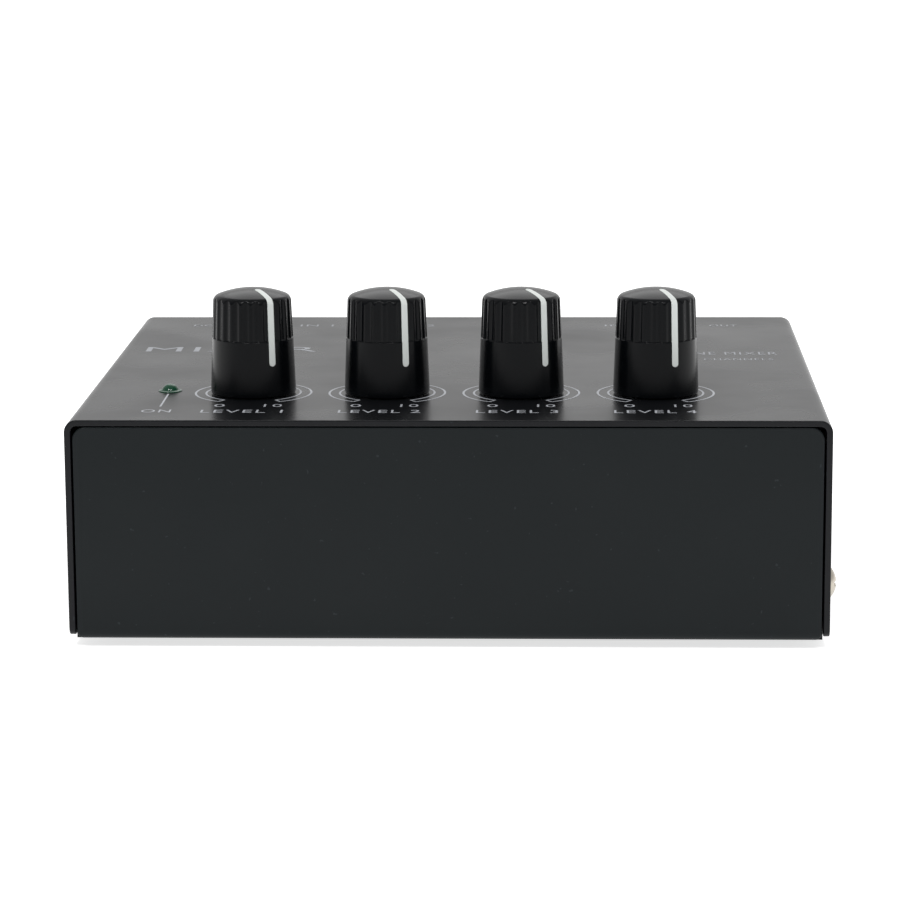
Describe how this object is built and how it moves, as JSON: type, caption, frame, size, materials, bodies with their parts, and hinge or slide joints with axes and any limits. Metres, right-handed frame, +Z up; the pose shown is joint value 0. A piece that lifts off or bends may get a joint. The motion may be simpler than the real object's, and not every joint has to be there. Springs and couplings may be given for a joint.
{
  "type": "mixing console",
  "caption": "Small line mixing console: folded black steel box with level knobs and a lamp on top, jacks and a power inlet at the rear",
  "frame": {"origin": "on the surface the rubber feet stand on, under the centre of the whole assembly's box", "axes": "X to the right as the user faces the knobs, Y from the front panel to the rear panel, Z up"},
  "size_m": [0.1246, 0.1052, 0.0541],
  "materials": {
    "cover_paint": "semi-gloss black baked paint on folded steel",
    "chassis_paint": "semi-gloss black baked paint on folded steel",
    "nickel_screw": "nickel-plated steel",
    "zinc_steel": "zinc-plated steel",
    "rubber": "soft black rubber",
    "board_laminate": "glass-fibre laminate with solder mask",
    "knob_plastic": "moulded black plastic, glossy",
    "pointer_plastic": "moulded white plastic insert",
    "shaft_aluminium": "turned aluminium",
    "black_plastic": "moulded black plastic",
    "spring_brass": "plated spring brass",
    "carbon_track": "printed carbon film",
    "nickel_nut": "nickel-plated brass",
    "green_lens": "clear green epoxy, unlit",
    "capacitor_sleeve": "shrink sleeve on aluminium can",
    "film_capacitor": "dipped film capacitor",
    "resistor_lacquer": "lacquered film resistor",
    "diode_moulding": "moulded epoxy"
  },
  "bodies": {
    "case": {"top_cover": "cover_paint", "chassis": "chassis_paint", "cover_screws": "nickel_screw", "board_screws": "nickel_screw", "board_standoffs": "zinc_steel", "foot_front_left": "rubber", "foot_front_right": "rubber", "foot_rear_left": "rubber", "foot_rear_right": "rubber", "main_board": "board_laminate", "pot_case_1": "black_plastic", "pot_case_2": "black_plastic", "pot_case_3": "black_plastic", "pot_case_4": "black_plastic", "lamp_spacer": "black_plastic", "op_amps": "black_plastic", "voltage_regulator": "black_plastic", "inlet_body": "black_plastic", "jack_housing_1": "black_plastic", "jack_housing_2": "black_plastic", "jack_housing_3": "black_plastic", "jack_housing_4": "black_plastic", "jack_housing_5": "black_plastic", "pot_terminals": "spring_brass", "lamp_leads": "spring_brass", "inlet_spring": "spring_brass", "jack_tip_spring_1": "spring_brass", "jack_tip_spring_2": "spring_brass", "jack_tip_spring_3": "spring_brass", "jack_tip_spring_4": "spring_brass", "jack_tip_spring_5": "spring_brass", "jack_sleeve_spring_1": "spring_brass", "jack_sleeve_spring_2": "spring_brass", "jack_sleeve_spring_3": "spring_brass", "jack_sleeve_spring_4": "spring_brass", "jack_sleeve_spring_5": "spring_brass", "pot_tracks": "carbon_track", "jack_nuts": "nickel_nut", "inlet_pin": "nickel_nut", "lamp_lens": "green_lens", "electrolytic_capacitors": "capacitor_sleeve", "film_capacitors": "film_capacitor", "resistors": "resistor_lacquer", "rectifier_diodes": "diode_moulding"},
    "level_control_1": {"knob_1": "knob_plastic", "knob_pointer_1": "pointer_plastic", "pot_shaft_1": "shaft_aluminium", "pot_wiper_1": "spring_brass"},
    "level_control_2": {"knob_2": "knob_plastic", "knob_pointer_2": "pointer_plastic", "pot_shaft_2": "shaft_aluminium", "pot_wiper_2": "spring_brass"},
    "level_control_3": {"knob_3": "knob_plastic", "knob_pointer_3": "pointer_plastic", "pot_shaft_3": "shaft_aluminium", "pot_wiper_3": "spring_brass"},
    "level_control_4": {"knob_4": "knob_plastic", "knob_pointer_4": "pointer_plastic", "pot_shaft_4": "shaft_aluminium", "pot_wiper_4": "spring_brass"}
  },
  "joints": [
    {"name": "level_1", "type": "hinge", "parent": "case", "child": "level_control_1", "pos_m": [-0.03235, -0.0286, 0.0368], "axis": [0, 0, 1], "range_deg": [0, 300]},
    {"name": "level_2", "type": "hinge", "parent": "case", "child": "level_control_2", "pos_m": [-0.01055, -0.0286, 0.0368], "axis": [0, 0, 1], "range_deg": [0, 300]},
    {"name": "level_3", "type": "hinge", "parent": "case", "child": "level_control_3", "pos_m": [0.01125, -0.0286, 0.0368], "axis": [0, 0, 1], "range_deg": [0, 300]},
    {"name": "level_4", "type": "hinge", "parent": "case", "child": "level_control_4", "pos_m": [0.03305, -0.0286, 0.0368], "axis": [0, 0, 1], "range_deg": [0, 300]}
  ]
}
